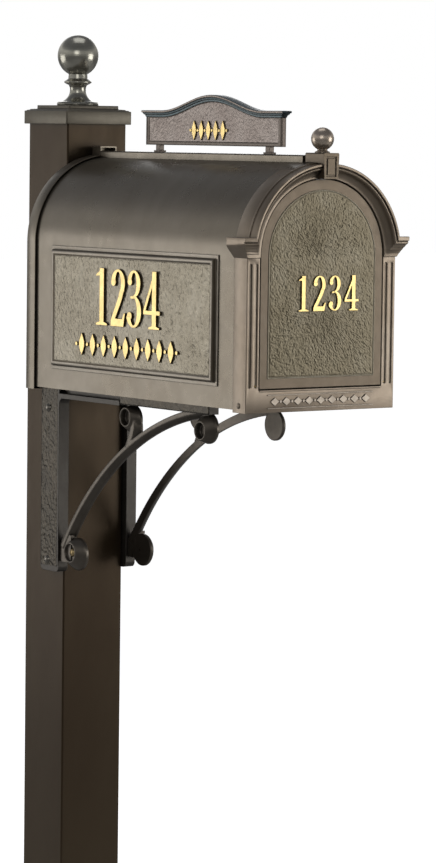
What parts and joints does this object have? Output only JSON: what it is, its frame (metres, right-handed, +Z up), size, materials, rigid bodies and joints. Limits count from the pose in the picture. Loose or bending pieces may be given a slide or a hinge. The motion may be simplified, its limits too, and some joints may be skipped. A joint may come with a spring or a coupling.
{
  "type": "post-mounted mailbox",
  "caption": "Kerbside mailbox with arched body, fall-front door and signal flag on a square post with scroll brackets and ball finials.",
  "frame": {"origin": "centre of the post's foot plate on the ground", "axes": "+Z up along the post, -Y out of the door, +X to the right of someone facing the door"},
  "size_m": [0.2732, 0.7018, 1.5982],
  "materials": {
    "post_paint": "satin dark bronze powder coat",
    "bracket_paint": "dark bronze powder coat over a hammered casting",
    "body_paint": "satin bronze powder coat",
    "frame_paint": "satin bronze powder coat, lighter on edges",
    "plaque_paint": "hammered olive bronze",
    "topper_paint": "dark bronze with blue-green patina",
    "gold_paint": "satin gold",
    "zinc_steel": "zinc plated",
    "brass_screw": "dulled brass",
    "flag_paint": "satin red"
  },
  "bodies": {
    "mailbox": {"foot_plate": "post_paint", "post_tube": "post_paint", "post_cap": "post_paint", "cap_screws": "zinc_steel", "post_finial": "post_paint", "finial_stud": "zinc_steel", "bracket_left": "bracket_paint", "bracket_right": "bracket_paint", "scroll_left": "bracket_paint", "scroll_right": "bracket_paint", "bracket_post_screws": "brass_screw", "scroll_screws": "brass_screw", "mounting_board": "zinc_steel", "floor_bolts": "zinc_steel", "rear_spacer": "post_paint", "rear_bolts": "zinc_steel", "body_shell": "body_paint", "floor_plate": "body_paint", "rear_cover": "body_paint", "ridge_rail": "body_paint", "front_frame": "frame_paint", "frame_screws": "frame_paint", "sill_ornament": "frame_paint", "keystone": "frame_paint", "keystone_finial": "frame_paint", "door_catch": "zinc_steel", "plaque_left": "plaque_paint", "plaque_right": "plaque_paint", "numerals_left": "gold_paint", "numerals_right": "gold_paint", "ornament_left": "gold_paint", "ornament_right": "gold_paint", "plaque_studs": "zinc_steel", "topper_board": "topper_paint", "topper_cornice": "topper_paint", "topper_feet": "topper_paint", "topper_ornament": "gold_paint", "topper_screws": "zinc_steel", "flag_bushing": "brass_screw", "flag_bolt": "brass_screw"},
    "door": {"door": "frame_paint", "door_panel": "plaque_paint", "door_numerals": "gold_paint", "door_hinge_pins": "brass_screw", "door_strike": "zinc_steel"},
    "flag": {"flag_arm": "frame_paint", "flag_blade": "flag_paint", "flag_rivets": "brass_screw"}
  },
  "joints": [
    {"name": "door_hinge", "type": "hinge", "parent": "mailbox", "child": "door", "pos_m": [0, -0.5875, 1.1282], "axis": [1, 0, 0], "range_deg": [0, 90]},
    {"name": "flag_pivot", "type": "hinge", "parent": "mailbox", "child": "flag", "pos_m": [0.129, -0.545, 1.305], "axis": [1, 0, 0], "range_deg": [0, 90]}
  ]
}
